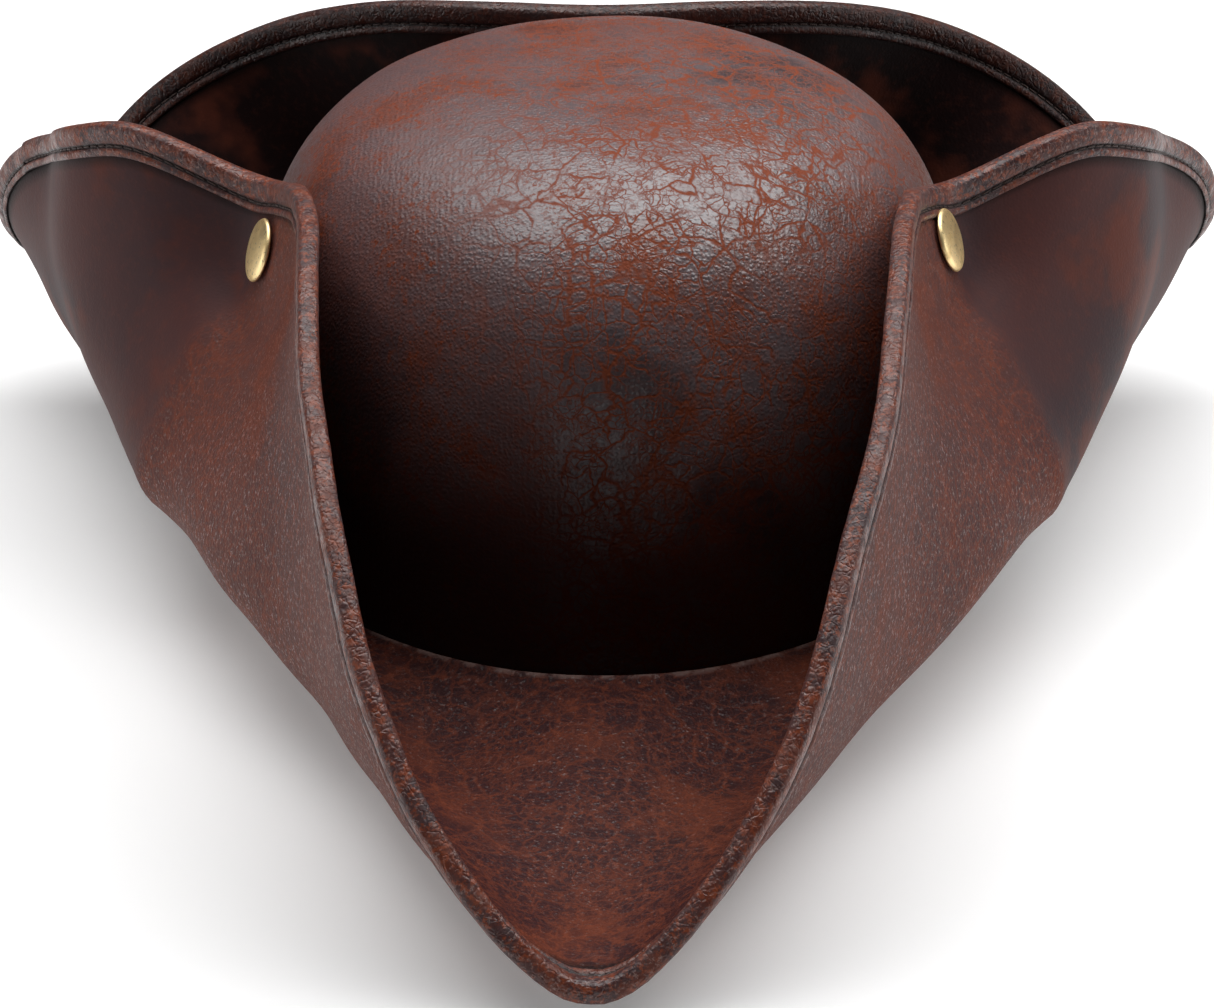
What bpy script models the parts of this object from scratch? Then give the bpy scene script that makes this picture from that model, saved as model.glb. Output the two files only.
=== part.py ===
"""Three-cornered pirate hat of distressed faux leather.

The hat's front faces -Y and +Z is up. The origin is the centre of the head opening, on the seam
where the crown meets the brim. Sizes are in millimetres and become metres in make_object.

The crown is a moulded dome on an egg-shaped plan. The brim is a flat ring of three plies, folded up
into a left, a right and a back flap, and each flap is riveted to the crown. Its folded shape is
lofted through sections set out evenly round the seam.
"""
import math

import bmesh
import bpy
import numpy as np
from mathutils import Vector

MM = 0.001

# Crown, outside, at the seam with the brim.
HALF_WIDTH = 89.5
HALF_LENGTH = 103.0
CROWN_HEIGHT = 114.0
PLAN_POWER = 1.92       # 2 is an ellipse; a little less draws the plan out at front and back
SIDE_POWER = 3.6        # above 2 the sides stand up straight and turn over a round shoulder
CROWN_FOOT = -1.5       # the crown's lower edge, level with the brim's underside

# Layers inside the crown, as depths below its outer face.
SHELL_DEPTHS = (0.0, 1.0)
INTERLINING_DEPTHS = (1.3, 2.5)
LINING_DEPTHS = (5.7, 6.2)
SWEATBAND_DEPTHS = (6.6, 7.4)
INTERLINING_FOOT = 1.5
LINING_FOOT = 3.5
LINING_SPLIT = 0.56     # how far over the dome the lining's side meets its tip, from 0 to 1
LINING_SPLIT_GAP = 0.01
SWEATBAND_EDGES = (-1.5, 30.5)
REED_DEPTH = 3.9
REED_Z = -0.6
REED_RADIUS = 0.7
LABEL_SIZE = (26.0, 0.4, 14.0)
LABEL_BACK = 93.0
LABEL_Z = 16.0

# Brim plies, as heights from the brim's middle surface towards the crown side.
UPPER_PLY = (0.8, 1.5)
STIFFENER = (-0.5, 0.5)
UNDER_PLY = (-1.5, -0.8)
SEAM_GAP = 0.6          # between the crown's face and the brim's inner edge
RIM = 1.0
BINDING_INNER = 0.938   # where the edge binding's inner border lies, across the brim
BINDING_LAP = 1.9       # inner face of the binding, from the middle surface
BINDING_THICKNESS = 0.7
BINDING_FOLD = (0.6, 1.3)
BINDING_STRIPS_OUTWARD = (0, 1, 6, 7)
STIFFENER_EDGE = 0.97
WIRE_PLACE = 0.984
WIRE_RADIUS = 0.4
STIFFENER_ROWS = (0.0, 0.2, 0.4, 0.6, 0.7, 0.74, 0.78, 0.82, 0.86, 0.9, BINDING_INNER, STIFFENER_EDGE)
COVER_ROWS = STIFFENER_ROWS + (RIM,)
BINDING_BORDER = (BINDING_INNER, STIFFENER_EDGE)
SETTLE_SPAN = 0.2       # across the brim, how soon the plies turn square to the brim from upright

# Brim sections, evenly spaced from the front point (first) round one side to the back (last).
# Each runs from the seam, a third, two thirds and all of the way out to the rim: (x, y, z).
BRIM_SECTIONS = (
    ((0, -143, -7), (0, -185, -12), (0, -228, -9)),
    ((35, -137, -9), (41, -173, 4), (38, -206, 25)),
    ((59, -123, 2), (59, -149, 31), (53, -171, 62)),
    ((78, -103, 13), (69, -116, 49), (62, -130, 84)),
    ((92, -79, 21), (75, -81, 60), (66, -87, 98)),
    ((103, -52, 24), (82, -45, 63), (75, -44, 101)),
    ((115, -26, 23), (105, -17, 64), (104, -12, 103)),
    ((122, 2, 20), (131, 9, 57), (134, 19, 92)),
    ((123, 30, 12), (142, 42, 44), (144, 61, 76)),
    ((118, 56, 5), (147, 73, 25), (163, 93, 55)),
    ((103, 82, 2), (134, 104, 13), (162, 125, 27)),
    ((85, 104, 6), (110, 119, 32), (134, 135, 58)),
    ((60, 119, 16), (77, 126, 51), (96, 126, 85)),
    ((33, 117, 26), (44, 104, 63), (54, 101, 100)),
    ((0, 116, 32), (0, 103, 69), (0, 86, 103)),
)
TIP_SHIFT = -3.0        # the front point leans a little to -X
TIP_SHIFT_START = -60.0
TIP_SHIFT_END = -210.0
TIP_PINCH = 0.26        # share by which the very tip is narrowed
TIP_PINCH_SPAN = 14.0   # how fast that fades behind the tip

# Rivets: turn round the seam (0 front, 0.25 the +X side, 0.5 back) and place across the brim.
# Left and right are as seen from the front.
RIVETS = {"right": (0.1923, 0.836), "back": (0.5, 0.74), "left": (0.8077, 0.81)}
RIVET_PULL = 22.0       # reach of the flat patch that each rivet pulls against the crown
FLAP_STANDOFF = 2.5     # the brim's middle surface from the crown's face, at a rivet
CAP_RADIUS = 7.8
CAP_DOME = ((2.5, 4.5), (2.0, 6.8), (1.3, CAP_RADIUS), (0.8, CAP_RADIUS))
CAP_UNDERSIDE = 0.8
POST_RADIUS = 1.8
POST_HOLE = 2.3
BURR = {"hole": 2.2, "radius": 4.4, "start": 6.7, "end": 7.5}
POST_END = 7.7
ROUND_STEPS = 16

RING_STEPS = 48
RIVET_STEP = 0.0085     # turn from a rivet to the extra stations beside it
CROWN_ROWS = (0.03, 0.14, 0.32, 0.5, 0.7, 0.88)

MAROON = (0.115, 0.052, 0.036, 1.0)
DARK_BROWN = (0.060, 0.036, 0.028, 1.0)
TAN = (0.33, 0.22, 0.14, 1.0)
FELT = (0.20, 0.17, 0.14, 1.0)
BLACK = (0.015, 0.013, 0.012, 1.0)
BRASS = (0.42, 0.33, 0.17, 1.0)
STEEL = (0.45, 0.45, 0.44, 1.0)
CREAM = (0.62, 0.57, 0.46, 1.0)


def clear_scene():
    for item in list(bpy.data.objects):
        bpy.data.objects.remove(item, do_unlink=True)


def make_material(name, colour, roughness, metallic=0.0):
    material = bpy.data.materials.new(name)
    material.use_nodes = True
    shader = material.node_tree.nodes["Principled BSDF"]
    shader.inputs["Base Color"].default_value = colour
    shader.inputs["Roughness"].default_value = roughness
    shader.inputs["Metallic"].default_value = metallic
    return material


# ---------------------------------------------------------------- curves and surfaces

def closed_spline(points, turns):
    """A smooth closed curve through evenly spaced points, read at turns from 0 to 1."""
    count = len(points)
    system = 4.0 * np.eye(count)
    for k in range(count):
        system[k, k - 1] = 1.0
        system[k, (k + 1) % count] = 1.0
    rise = 3.0 * (np.roll(points, -1, axis=0) - np.roll(points, 1, axis=0))
    slopes = np.linalg.solve(system, rise.reshape(count, -1)).reshape(points.shape)
    place = np.asarray(turns) * count
    index = np.floor(place + 1e-9).astype(int)
    t = (place - index).reshape(-1, *([1] * (points.ndim - 1)))
    a, b = index % count, (index + 1) % count
    return ((2 * t**3 - 3 * t**2 + 1) * points[a] + (t**3 - 2 * t**2 + t) * slopes[a]
            + (3 * t**2 - 2 * t**3) * points[b] + (t**3 - t**2) * slopes[b])


def open_spline(points, place):
    """A natural cubic through evenly spaced points, read at one place from 0 to 1."""
    count = len(points)
    system = np.eye(count)
    load = np.zeros_like(points)
    for k in range(1, count - 1):
        system[k, k - 1:k + 2] = (1.0, 4.0, 1.0)
        load[k] = 6.0 * (points[k - 1] - 2.0 * points[k] + points[k + 1])
    bend = np.linalg.solve(system, load.reshape(count, -1)).reshape(points.shape)
    k = min(int(place * (count - 1)), count - 2)
    t = place * (count - 1) - k
    return (points[k] * (1 - t) + points[k + 1] * t
            + bend[k] * ((1 - t)**3 - (1 - t)) / 6 + bend[k + 1] * (t**3 - t) / 6)


def plan_curve(angles, half_width, half_length):
    """The crown's plan: a superellipse, from the front round by the right side."""
    sines, cosines = np.sin(angles), np.cos(angles)
    x = half_width * np.sign(sines) * np.abs(sines)**(2 / PLAN_POWER)
    y = -half_length * np.sign(cosines) * np.abs(cosines)**(2 / PLAN_POWER)
    return np.stack([x, y], axis=-1)


def seam_angles(turns):
    """The plan curve's angles at even lengths round the seam."""
    angles = np.linspace(0.0, 2.0 * math.pi, 2001)
    steps = np.linalg.norm(np.diff(plan_curve(angles, HALF_WIDTH, HALF_LENGTH), axis=0), axis=1)
    length = np.concatenate([[0.0], np.cumsum(steps)])
    return np.interp(turns, length / length[-1], angles)


def crown_ring(turns, depth, over):
    """One level ring of the dome; over runs from 0 at the seam to 1 at the top."""
    lift = over * math.pi / 2
    shrink = math.cos(lift)**(2 / SIDE_POWER)
    plan = plan_curve(seam_angles(turns), HALF_WIDTH - depth, HALF_LENGTH - depth) * shrink
    z = (CROWN_HEIGHT - depth) * math.sin(lift)**(2 / SIDE_POWER)
    return np.column_stack([plan, np.full(len(plan), z)])


def wall_ring(turns, depth, z):
    """A level ring on the crown's upright wall, at height z."""
    plan = plan_curve(seam_angles(turns), HALF_WIDTH - depth, HALF_LENGTH - depth)
    shrink = (1.0 - (max(z, 0.0) / (CROWN_HEIGHT - depth))**SIDE_POWER)**(1 / SIDE_POWER)
    return np.column_stack([plan * shrink, np.full(len(plan), z)])


def crown_level(points, grow=0.0):
    """1 on the dome grown by this much, less inside and more outside."""
    plan = (np.abs(points[..., 0] / (HALF_WIDTH + grow))**PLAN_POWER
            + np.abs(points[..., 1] / (HALF_LENGTH + grow))**PLAN_POWER)**(1 / PLAN_POWER)
    rise = np.abs(points[..., 2] / (CROWN_HEIGHT + grow))
    return (plan**SIDE_POWER + rise**SIDE_POWER)**(1 / SIDE_POWER)


def mirror_x(points):
    return points * np.array([-1.0, 1.0, 1.0])


def loose_brim(turns, place):
    """The brim's middle surface before its flaps are riveted."""
    side = np.array(BRIM_SECTIONS, dtype=float)
    ring = np.concatenate([side, mirror_x(side[-2:0:-1])])
    seam_turns = np.arange(len(ring)) / len(ring)
    angles = seam_angles(seam_turns)
    seam = plan_curve(angles, HALF_WIDTH + SEAM_GAP, HALF_LENGTH + SEAM_GAP)
    seam = np.column_stack([seam, np.zeros(len(seam))])
    nets = np.concatenate([seam[:, None], ring], axis=1)
    sections = closed_spline(nets, turns)
    points = open_spline(np.swapaxes(sections, 0, 1), place)
    behind_tip = points[:, 1] - BRIM_SECTIONS[0][-1][1]
    points[:, 0] *= 1.0 - TIP_PINCH * np.exp(-np.maximum(behind_tip, 0.0) / TIP_PINCH_SPAN)
    lean = np.clip((TIP_SHIFT_START - points[:, 1]) / (TIP_SHIFT_START - TIP_SHIFT_END), 0.0, 1.0)
    points[:, 0] += TIP_SHIFT * lean**2 * (3 - 2 * lean)
    return points


def onto_crown(points):
    """The same points moved to the standoff surface that lies round the dome."""
    return points / crown_level(points, FLAP_STANDOFF)[..., None]


def rivet_centre(name):
    turn, place = RIVETS[name]
    return onto_crown(loose_brim([turn], place))[0]


def brim_ring(turns, place):
    """The brim's middle surface, pulled against the crown round each rivet."""
    points = loose_brim(turns, place)
    for name in RIVETS:
        laid = onto_crown(points)
        reach = np.linalg.norm(laid - rivet_centre(name), axis=1) / RIVET_PULL
        points = points + np.exp(-reach**4)[:, None] * (laid - points)
    return points


def brim_normals(turns, place):
    """Unit normals of the brim, towards the crown side; upright at the seam."""
    step = 0.01
    turns = np.asarray(turns)
    along = brim_ring((turns + step) % 1.0, place) - brim_ring((turns - step) % 1.0, place)
    inner, outer = max(place - step, 0.0), min(place + step, RIM)
    across = brim_ring(turns, outer) - brim_ring(turns, inner)
    normals = np.cross(across, along)
    normals /= np.linalg.norm(normals, axis=1, keepdims=True)
    settle = min(place / SETTLE_SPAN, 1.0)
    normals = settle * normals + (1.0 - settle) * np.array([0.0, 0.0, 1.0])
    return normals / np.linalg.norm(normals, axis=1, keepdims=True)


def brim_layer_ring(turns, place, height):
    return brim_ring(turns, place) + height * brim_normals(turns, place)


def stations():
    """Turns round the hat: even steps, with closer ones beside each rivet."""
    rivet_turns = [turn for turn, place in RIVETS.values()]
    even = [k / RING_STEPS for k in range(RING_STEPS)]
    kept = [t for t in even if all(abs(t - r) > 1.5 * RIVET_STEP for r in rivet_turns)]
    close = [r + k * RIVET_STEP for r in rivet_turns for k in (-1, 0, 1)]
    return np.array(sorted(kept + close))


# ---------------------------------------------------------------- meshes

def make_object(name, bm, material, smooth_angle=40.0):
    bmesh.ops.recalc_face_normals(bm, faces=bm.faces)
    bmesh.ops.scale(bm, vec=(MM, MM, MM), verts=bm.verts)
    mesh = bpy.data.meshes.new(name)
    bm.to_mesh(mesh)
    bm.free()
    mesh.shade_smooth()
    mesh.set_sharp_from_angle(angle=math.radians(smooth_angle))
    mesh.materials.append(material)
    item = bpy.data.objects.new(name, mesh)
    bpy.context.scene.collection.objects.link(item)
    return item


def skin(rings, first_pole=None, last_pole=None, flipped=()):
    """Triangles through rings of equal count, closed by poles or back on to the first ring.

    Strips listed in flipped run back under an earlier strip, and split their quads the other
    way, so that the two faces of a thin layer stay parallel.
    """
    bm = bmesh.new()
    rows = [[bm.verts.new(point) for point in ring] for ring in rings]
    count = len(rows[0])
    pairs = list(zip(rows, rows[1:]))
    if first_pole is None:
        pairs.append((rows[-1], rows[0]))
    for strip, (near, far) in enumerate(pairs):
        for k in range(count):
            n = (k + 1) % count
            if strip in flipped:
                bm.faces.new((near[k], near[n], far[k]))
                bm.faces.new((near[n], far[n], far[k]))
            else:
                bm.faces.new((near[k], near[n], far[n]))
                bm.faces.new((near[k], far[n], far[k]))
    for pole, row in ((first_pole, rows[0]), (last_pole, rows[-1])):
        if pole is not None:
            tip = bm.verts.new(pole)
            for k in range(count):
                bm.faces.new((row[k], row[(k + 1) % count], tip))
    return bm


def doubled(outer, inner, poles=(None, None)):
    """A thin layer: down its outer rings, then back up its inner ones."""
    count = len(outer)
    return skin(outer[::-1] + inner, *poles, flipped=range(count, 2 * count - 1))


def dome_shell(name, depths, foot, rows, material):
    """A domed shell of even thickness, open at the bottom."""
    turns = stations()
    outer = [wall_ring(turns, depths[0], foot)] + [crown_ring(turns, depths[0], r) for r in rows]
    inner = [wall_ring(turns, depths[1], foot)] + [crown_ring(turns, depths[1], r) for r in rows]
    poles = [(0.0, 0.0, CROWN_HEIGHT - d) for d in depths]
    return make_object(name, doubled(outer, inner, poles), material)


def lining_side(material):
    turns = stations()
    rows = [r for r in CROWN_ROWS if r < LINING_SPLIT] + [LINING_SPLIT - LINING_SPLIT_GAP]
    outer, inner = [[wall_ring(turns, d, LINING_FOOT)] + [crown_ring(turns, d, r) for r in rows]
                    for d in LINING_DEPTHS]
    return make_object("lining_side", doubled(outer, inner), material)


def lining_tip(material):
    turns = stations()
    rows = [LINING_SPLIT + LINING_SPLIT_GAP] + [r for r in CROWN_ROWS if r > LINING_SPLIT]
    outer, inner = [[crown_ring(turns, d, r) for r in rows] for d in LINING_DEPTHS]
    poles = [(0.0, 0.0, CROWN_HEIGHT - d) for d in LINING_DEPTHS]
    return make_object("lining_tip", doubled(outer, inner, poles), material)


def sweatband(material):
    turns = stations()
    outer, inner = [[wall_ring(turns, d, z) for z in SWEATBAND_EDGES] for d in SWEATBAND_DEPTHS]
    return make_object("sweatband", doubled(outer, inner), material)


def round_rings(centres, out, up, radius, steps=6):
    """Rings of a round cord whose section lies in the directions out and up."""
    rings = []
    for k in range(steps):
        angle = 2.0 * math.pi * k / steps
        rings.append(centres + radius * (math.cos(angle) * out + math.sin(angle) * up))
    return rings


def sweatband_reed(material):
    turns = stations()
    centres = wall_ring(turns, REED_DEPTH, REED_Z)
    out = centres * np.array([1.0, 1.0, 0.0])
    out /= np.linalg.norm(out, axis=1, keepdims=True)
    rings = round_rings(centres, out, np.array([0.0, 0.0, 1.0]), REED_RADIUS)
    return make_object("sweatband_reed", skin(rings), material)


def size_label(material):
    bm = bmesh.new()
    bmesh.ops.create_cube(bm, size=1.0)
    bmesh.ops.scale(bm, vec=LABEL_SIZE, verts=bm.verts)
    bmesh.ops.translate(bm, vec=(0.0, LABEL_BACK, LABEL_Z), verts=bm.verts)
    return make_object("size_label", bm, material)


def brim_ply(name, heights, rows, material):
    """One ply of the brim, between two heights from the brim's middle surface."""
    turns = stations()
    upper = [brim_layer_ring(turns, r, heights[1]) for r in rows]
    under = [brim_layer_ring(turns, r, heights[0]) for r in rows]
    return make_object(name, doubled(upper, under), material)


def outward_at_rim(turns):
    across = brim_ring(turns, RIM) - brim_ring(turns, BINDING_INNER)
    return across / np.linalg.norm(across, axis=1, keepdims=True)


def edge_binding(material):
    """A tape folded round the rim, with a border on each face of the brim."""
    turns = stations()
    out = outward_at_rim(turns)
    inside, outside = BINDING_LAP, BINDING_LAP + BINDING_THICKNESS
    near, far = BINDING_FOLD

    def rim(height, reach):
        return brim_layer_ring(turns, RIM, height) + reach * out

    def border(height):
        return [brim_layer_ring(turns, place, height) for place in BINDING_BORDER] + [rim(height, near)]

    rings = border(inside) + border(-inside)[::-1] + border(-outside)
    rings += [rim(-0.5 * inside, far), rim(0.5 * inside, far)] + border(outside)[::-1]
    return make_object("edge_binding", skin(rings, flipped=BINDING_STRIPS_OUTWARD), material)


def brim_wire(material):
    turns = stations()
    centres = brim_ring(turns, WIRE_PLACE)
    rings = round_rings(centres, outward_at_rim(turns), brim_normals(turns, WIRE_PLACE), WIRE_RADIUS)
    return make_object("brim_wire", skin(rings), material)


# ---------------------------------------------------------------- rivets

def rivet_frame(name):
    """A rivet's centre on the brim's middle surface and its axis, out of the crown."""
    centre = rivet_centre(name)
    step = 0.05
    slope = [crown_level(centre + step * axis) - crown_level(centre - step * axis)
             for axis in np.eye(3)]
    axis = np.array(slope) / np.linalg.norm(slope)
    return centre, axis


def lathe(profile, centre, axis, first_pole=None, last_pole=None):
    """Turn (distance along the axis, radius) pairs about a rivet's axis."""
    turn = Vector((0.0, 0.0, 1.0)).rotation_difference(Vector(axis)).to_matrix()
    place = np.array(turn)
    angles = 2.0 * math.pi * np.arange(ROUND_STEPS) / ROUND_STEPS
    rings = []
    for distance, radius in profile:
        flat = np.column_stack([radius * np.cos(angles), radius * np.sin(angles),
                                np.full(ROUND_STEPS, distance)])
        rings.append(centre + flat @ place.T)
    poles = [None if d is None else tuple(centre + d * np.array(axis)) for d in (first_pole, last_pole)]
    return skin(rings, *poles)


def rivet_cap(name, material):
    """The domed outer cap and its post, one piece."""
    centre, axis = rivet_frame(name)
    face = -UNDER_PLY[0]
    profile = [(face + height, radius) for height, radius in CAP_DOME]
    profile += [(face + CAP_UNDERSIDE, POST_RADIUS), (-POST_END, POST_RADIUS)]
    top = face + CAP_DOME[0][0] + 0.3
    bm = lathe(profile, centre, axis, first_pole=top, last_pole=-POST_END)
    return make_object(f"rivet_cap_{name}", bm, material)


def rivet_burr(name, material):
    """The ring that holds the post inside the crown."""
    centre, axis = rivet_frame(name)
    profile = [(-BURR["start"], BURR["hole"]), (-BURR["start"], BURR["radius"]),
               (-BURR["end"], BURR["radius"]), (-BURR["end"], BURR["hole"])]
    return make_object(f"rivet_burr_{name}", lathe(profile, centre, axis), material)


def rivet_hole_cutter(name, material):
    centre, axis = rivet_frame(name)
    reach = 2.0 * POST_END
    bm = lathe([(reach, POST_HOLE), (-reach, POST_HOLE)], centre, axis, reach, -reach)
    cutter = make_object(f"hole_cutter_{name}", bm, material)
    cutter.hide_render = True
    cutter.display_type = "WIRE"
    return cutter


def cut_holes(item, cutters):
    for cutter in cutters:
        modifier = item.modifiers.new(f"hole {cutter.name}", "BOOLEAN")
        modifier.operation = "DIFFERENCE"
        modifier.solver = "EXACT"
        modifier.object = cutter


def build_hat():
    clear_scene()
    crown_leather = make_material("crown_leather", MAROON, 0.45)
    brim_leather = make_material("brim_leather", DARK_BROWN, 0.5)
    binding_leather = make_material("binding_leather", DARK_BROWN, 0.4)
    band_leather = make_material("sweatband_leather", TAN, 0.6)
    felt = make_material("stiffening", FELT, 0.9)
    lining = make_material("lining_cloth", BLACK, 0.7)
    brass = make_material("antique_brass", BRASS, 0.35, 1.0)
    steel = make_material("wire_steel", STEEL, 0.4, 1.0)
    label_cloth = make_material("label_cloth", CREAM, 0.8)

    holed = [
        dome_shell("crown_shell", SHELL_DEPTHS, CROWN_FOOT, CROWN_ROWS, crown_leather),
        dome_shell("crown_interlining", INTERLINING_DEPTHS, INTERLINING_FOOT, CROWN_ROWS, felt),
        brim_ply("brim_upper_cover", UPPER_PLY, COVER_ROWS, brim_leather),
        brim_ply("brim_stiffener", STIFFENER, STIFFENER_ROWS, felt),
        brim_ply("brim_under_cover", UNDER_PLY, COVER_ROWS, brim_leather),
    ]
    lining_side(lining)
    lining_tip(lining)
    sweatband(band_leather)
    sweatband_reed(steel)
    size_label(label_cloth)
    edge_binding(binding_leather)
    brim_wire(steel)
    cutters = [rivet_hole_cutter(name, steel) for name in RIVETS]
    for item in holed:
        cut_holes(item, cutters)
    for name in RIVETS:
        rivet_cap(name, brass)
        rivet_burr(name, brass)


build_hat()
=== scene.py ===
"""Visual model of the three-cornered pirate hat, in the frame of its CAD model.

The hat's front faces -Y and +Z is up. Shapes are worked out in millimetres and become metres in
new_object. Left and right are as seen from the front. A turn is a place round the hat, from 0 at
the front through 0.25 on the right to 0.5 at the back; a place across the brim runs from 0 at the
seam to 1 at the rim.
"""
import math

import bpy
import numpy as np
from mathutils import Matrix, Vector


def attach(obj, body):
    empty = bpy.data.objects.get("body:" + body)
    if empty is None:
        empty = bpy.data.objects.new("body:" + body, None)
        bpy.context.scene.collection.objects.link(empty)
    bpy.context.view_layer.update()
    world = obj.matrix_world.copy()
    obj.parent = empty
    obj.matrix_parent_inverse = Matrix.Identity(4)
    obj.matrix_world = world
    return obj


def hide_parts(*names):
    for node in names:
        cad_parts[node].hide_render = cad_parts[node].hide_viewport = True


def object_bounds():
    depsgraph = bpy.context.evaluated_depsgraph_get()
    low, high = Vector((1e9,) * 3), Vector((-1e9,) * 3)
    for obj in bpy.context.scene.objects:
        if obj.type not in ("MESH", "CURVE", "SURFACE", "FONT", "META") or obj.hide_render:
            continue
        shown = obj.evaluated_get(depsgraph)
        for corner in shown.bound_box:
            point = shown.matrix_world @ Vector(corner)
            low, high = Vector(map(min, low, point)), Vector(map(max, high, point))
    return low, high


MM = 0.001

# ---- the CAD model's measures

HALF_WIDTH = 89.5
HALF_LENGTH = 103.0
CROWN_HEIGHT = 114.0
PLAN_POWER = 1.92
SIDE_POWER = 3.6
CROWN_FOOT = -1.5
SHELL_DEPTHS = (0.0, 1.0)
INTERLINING_DEPTHS = (1.3, 2.5)
LINING_DEPTHS = (5.7, 6.2)
INTERLINING_FOOT = 1.5
LINING_FOOT = 3.5
LINING_SPLIT = 0.56
LINING_SPLIT_GAP = 0.01
REED_DEPTH = 3.9
REED_Z = -0.6
REED_RADIUS = 0.7
SEAM_GAP = 0.6
UPPER_PLY = (0.8, 1.5)
STIFFENER = (-0.5, 0.5)
UNDER_PLY = (-1.5, -0.8)
STIFFENER_EDGE = 0.97
WIRE_PLACE = 0.984
WIRE_RADIUS = 0.4
BRIM_SECTIONS = (
    ((0, -143, -7), (0, -185, -12), (0, -228, -9)),
    ((35, -137, -9), (41, -173, 4), (38, -206, 25)),
    ((59, -123, 2), (59, -149, 31), (53, -171, 62)),
    ((78, -103, 13), (69, -116, 49), (62, -130, 84)),
    ((92, -79, 21), (75, -81, 60), (66, -87, 98)),
    ((103, -52, 24), (82, -45, 63), (75, -44, 101)),
    ((115, -26, 23), (105, -17, 64), (104, -12, 103)),
    ((122, 2, 20), (131, 9, 57), (134, 19, 92)),
    ((123, 30, 12), (142, 42, 44), (144, 61, 76)),
    ((118, 56, 5), (147, 73, 25), (163, 93, 55)),
    ((103, 82, 2), (134, 104, 13), (162, 125, 27)),
    ((85, 104, 6), (110, 119, 32), (134, 135, 58)),
    ((60, 119, 16), (77, 126, 51), (96, 126, 85)),
    ((33, 117, 26), (44, 104, 63), (54, 101, 100)),
    ((0, 116, 32), (0, 103, 69), (0, 86, 103)),
)
TIP_SHIFT = -3.0
TIP_SHIFT_START = -60.0
TIP_SHIFT_END = -210.0
TIP_PINCH = 0.26
TIP_PINCH_SPAN = 14.0
SEAM_LENGTH = 600.0
UP = np.array([0.0, 0.0, 1.0])
BRIM_WIDTH = 117.0
SETTLE_SPAN = 0.2
RIVETS = {"right": (0.1923, 0.836), "back": (0.5, 0.74), "left": (0.8077, 0.81)}
RIVET_PULL = 22.0
FLAP_STANDOFF = 2.5
POST_END = 7.7

# ---- finer detail

STATIONS = 384
CROWN_ROWS = 76
BRIM_ROWS = 60

# The binding's lapped end, on the left flap's outer corner.
LAP_TURN = 0.6975
LAP_RAISE = 0.7
LAP_FADE = 0.025

# Soft creases down the side flaps from their rivets, as (turn, place) points.
CREASES = {
    "right": ((0.1925, 0.76), (0.191, 0.60), (0.1885, 0.45), (0.190, 0.31), (0.192, 0.12)),
    "left": ((0.8065, 0.74), (0.8025, 0.59), (0.803, 0.45), (0.7985, 0.33), (0.797, 0.12)),
}
CREASE_HEIGHT = 2.3
CREASE_REACH = 11.0
CREASE_ROUNDING = 2.0
# The brim covers' painted shade behind each crease fades in over this many turns.
CREASE_BORDER = 0.007    # turns over which the leather changes tone at a crease
TIP_CREASE = ((0.0, 1.0), (0.0, 0.86), (0.0, 0.72))
TIP_CREASE_HEIGHT = 1.1
TIP_CREASE_REACH = 6.0

# Places across the brim over which painted shadow darkens its covers towards the binding's lip.
HEM_SHADE = (0.905, 0.932)
# Places between which the covers' turned edge at the seam comes and goes as a lighter grey line, part wear
# and part painted highlight.
SEAM_WEAR_AND_HIGHLIGHT = (0.004, 0.009, 0.013, 0.021)
# Turns over which painted shade darkens the binding round the back flap, and how strong it is.
BACK_SHADE = (0.30, 0.38, 0.62, 0.70)
BACK_PAINTED_SHADE_STRENGTH = 0.65

STITCH_PITCH = 3.0
STITCH_LENGTH = 2.5
STITCH_RADIUS = 0.28


# ---- curves and surfaces

def closed_spline(points, turns):
    """A smooth closed curve through evenly spaced points, read at turns from 0 to 1."""
    count = len(points)
    system = 4.0 * np.eye(count)
    for k in range(count):
        system[k, k - 1] = 1.0
        system[k, (k + 1) % count] = 1.0
    rise = 3.0 * (np.roll(points, -1, axis=0) - np.roll(points, 1, axis=0))
    slopes = np.linalg.solve(system, rise.reshape(count, -1)).reshape(points.shape)
    place = (np.asarray(turns) % 1.0) * count
    index = np.floor(place + 1e-9).astype(int) % count
    t = (place - np.floor(place + 1e-9)).reshape(-1, *([1] * (points.ndim - 1)))
    a, b = index, (index + 1) % count
    return ((2 * t**3 - 3 * t**2 + 1) * points[a] + (t**3 - 2 * t**2 + t) * slopes[a]
            + (3 * t**2 - 2 * t**3) * points[b] + (t**3 - t**2) * slopes[b])


def open_spline(points, places):
    """Natural cubics through evenly spaced points, each read at its own place from 0 to 1."""
    count = len(points)
    system = np.eye(count)
    load = np.zeros_like(points)
    for k in range(1, count - 1):
        system[k, k - 1:k + 2] = (1.0, 4.0, 1.0)
        load[k] = 6.0 * (points[k - 1] - 2.0 * points[k] + points[k + 1])
    bend = np.linalg.solve(system, load.reshape(count, -1)).reshape(points.shape)
    k = np.minimum((places * (count - 1)).astype(int), count - 2)
    t = (places * (count - 1) - k)[:, None]
    each = np.arange(points.shape[1])
    return (points[k, each] * (1 - t) + points[k + 1, each] * t
            + bend[k, each] * ((1 - t)**3 - (1 - t)) / 6 + bend[k + 1, each] * (t**3 - t) / 6)


def smooth_step(value, start, end):
    t = np.clip((value - start) / (end - start), 0.0, 1.0)
    return t * t * (3.0 - 2.0 * t)


def unit(vectors):
    return vectors / np.linalg.norm(vectors, axis=1, keepdims=True)


def plan_curve(angles, half_width, half_length):
    """The crown's plan: a superellipse, from the front round by the right side."""
    sines, cosines = np.sin(angles), np.cos(angles)
    x = half_width * np.sign(sines) * np.abs(sines)**(2 / PLAN_POWER)
    y = -half_length * np.sign(cosines) * np.abs(cosines)**(2 / PLAN_POWER)
    return np.stack([x, y], axis=-1)


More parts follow.
